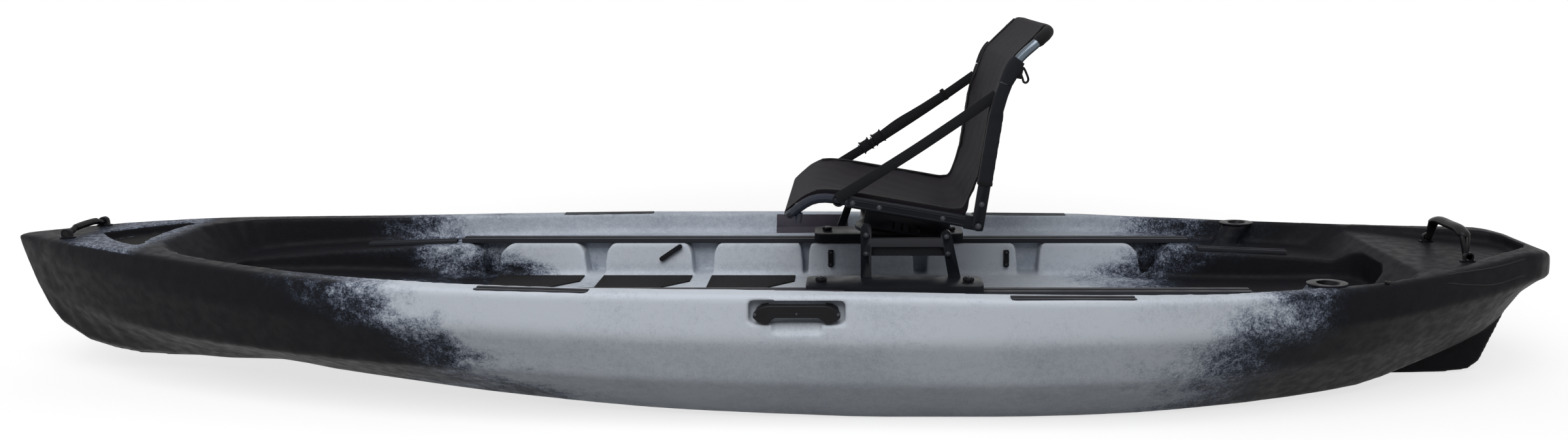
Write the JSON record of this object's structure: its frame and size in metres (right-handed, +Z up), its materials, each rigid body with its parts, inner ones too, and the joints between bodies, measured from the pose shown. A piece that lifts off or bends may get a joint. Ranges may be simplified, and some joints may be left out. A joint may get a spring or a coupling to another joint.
{
  "type": "fishing kayak",
  "caption": "Sit-on fishing kayak with a moulded open hull, accessory tracks, rod holders, carry handles and a sliding, turning, folding sling seat.",
  "frame": {"origin": "on the ground under the middle of the hull", "axes": "+X to the stern, +Y to starboard, +Z up; the bow points along -X"},
  "size_m": [3.86, 0.926, 0.8977],
  "materials": {
    "hull_polyethylene": "rotomoulded, marbled dark to light blue grey",
    "track_aluminium": "black anodised",
    "frame_aluminium": "black powder coat",
    "head_tube": "bright anodised",
    "fitting_plastic": "satin black",
    "rubber": "matt",
    "sling_fabric": "woven mesh, charcoal brown",
    "webbing": "woven black"
  },
  "bodies": {
    "hull": {"hull": "hull_polyethylene", "main_track_port": "track_aluminium", "main_track_starboard": "track_aluminium", "fore_track_port": "track_aluminium", "fore_track_starboard": "track_aluminium", "aft_track_port": "track_aluminium", "aft_track_starboard": "track_aluminium", "fore_gear_track_port": "track_aluminium", "fore_gear_track_starboard": "track_aluminium", "aft_gear_track_port": "track_aluminium", "aft_gear_track_starboard": "track_aluminium", "side_handle_port": "fitting_plastic", "side_handle_starboard": "fitting_plastic", "handle_backing_port": "fitting_plastic", "handle_backing_starboard": "fitting_plastic", "floor_pad_fore": "rubber", "floor_pad_middle": "rubber", "floor_pad_rear": "rubber", "pad_eye_port_fore": "fitting_plastic", "pad_eye_port_aft": "fitting_plastic", "pad_eye_starboard_fore": "fitting_plastic", "pad_eye_starboard_aft": "fitting_plastic", "paddle_clip": "fitting_plastic", "rod_holder_port": "fitting_plastic", "rod_holder_starboard": "fitting_plastic", "bow_recess_mat": "rubber", "drain_plug": "rubber", "bow_handle_foot_port": "fitting_plastic", "bow_handle_foot_starboard": "fitting_plastic", "stern_handle_foot_port": "fitting_plastic", "stern_handle_foot_starboard": "fitting_plastic"},
    "seat_base": {"slide_beam_port": "frame_aluminium", "slide_beam_starboard": "frame_aluminium", "leg_frame_port": "frame_aluminium", "leg_frame_starboard": "frame_aluminium", "base_plate": "frame_aluminium", "swivel_ring_lower": "frame_aluminium"},
    "knob_port_fore": {"clamp_knob_port_fore": "fitting_plastic"},
    "knob_port_aft": {"clamp_knob_port_aft": "fitting_plastic"},
    "knob_starboard_fore": {"clamp_knob_starboard_fore": "fitting_plastic"},
    "knob_starboard_aft": {"clamp_knob_starboard_aft": "fitting_plastic"},
    "seat": {"swivel_hub": "frame_aluminium", "tilt_bracket": "frame_aluminium", "seat_rail_port": "frame_aluminium", "seat_rail_starboard": "frame_aluminium", "cross_bar_front": "frame_aluminium", "cross_bar_rear": "frame_aluminium", "seat_front_frame": "frame_aluminium", "seat_sling": "sling_fabric"},
    "swivel_lever": {"swivel_lever": "frame_aluminium"},
    "seat_back": {"back_upright_port": "frame_aluminium", "back_upright_starboard": "frame_aluminium", "back_head_frame": "head_tube", "back_sling": "sling_fabric", "sling_bend": "sling_fabric", "side_strap_port": "webbing", "side_strap_starboard": "webbing"},
    "bow_handle": {"bow_handle": "rubber"},
    "stern_handle": {"stern_handle": "rubber"}
  },
  "joints": [
    {"name": "seat_slide", "type": "slide", "parent": "hull", "child": "seat_base", "axis": [1, 0, 0], "range_m": [-0.95, 0.6]},
    {"name": "seat_swivel", "type": "hinge", "parent": "seat_base", "child": "seat", "pos_m": [0.268, 0, 0.3903], "axis": [0, 0, 1], "continuous": true},
    {"name": "swivel_lever_lift", "type": "hinge", "parent": "seat", "child": "swivel_lever", "pos_m": [0.19581, 0, 0.45185], "axis": [0, 1, 0], "range_deg": [0, 25], "stiffness_Nm_per_rad": 0.2, "springref_deg": -17.19},
    {"name": "back_fold", "type": "hinge", "parent": "seat", "child": "seat_back", "pos_m": [0.45818, 0, 0.44915], "axis": [0, 1, 0], "range_deg": [-60, 0], "deforming": ["sling_bend", "side_strap_port", "side_strap_starboard"]},
    {"name": "bow_handle_swing", "type": "hinge", "parent": "hull", "child": "bow_handle", "pos_m": [-1.765, 0, 0.3864], "axis": [0, 1, 0], "range_deg": [-60, 60]},
    {"name": "stern_handle_swing", "type": "hinge", "parent": "hull", "child": "stern_handle", "pos_m": [1.675, 0, 0.3353], "axis": [0, 1, 0], "range_deg": [-60, 60]},
    {"name": "knob_port_fore_turn", "type": "hinge", "parent": "seat_base", "child": "knob_port_fore", "pos_m": [0.098, -0.262, 0.3239], "axis": [0, 0, 1], "continuous": true},
    {"name": "knob_port_aft_turn", "type": "hinge", "parent": "seat_base", "child": "knob_port_aft", "pos_m": [0.438, -0.262, 0.3239], "axis": [0, 0, 1], "continuous": true},
    {"name": "knob_starboard_fore_turn", "type": "hinge", "parent": "seat_base", "child": "knob_starboard_fore", "pos_m": [0.098, 0.262, 0.3239], "axis": [0, 0, 1], "continuous": true},
    {"name": "knob_starboard_aft_turn", "type": "hinge", "parent": "seat_base", "child": "knob_starboard_aft", "pos_m": [0.438, 0.262, 0.3239], "axis": [0, 0, 1], "continuous": true}
  ]
}
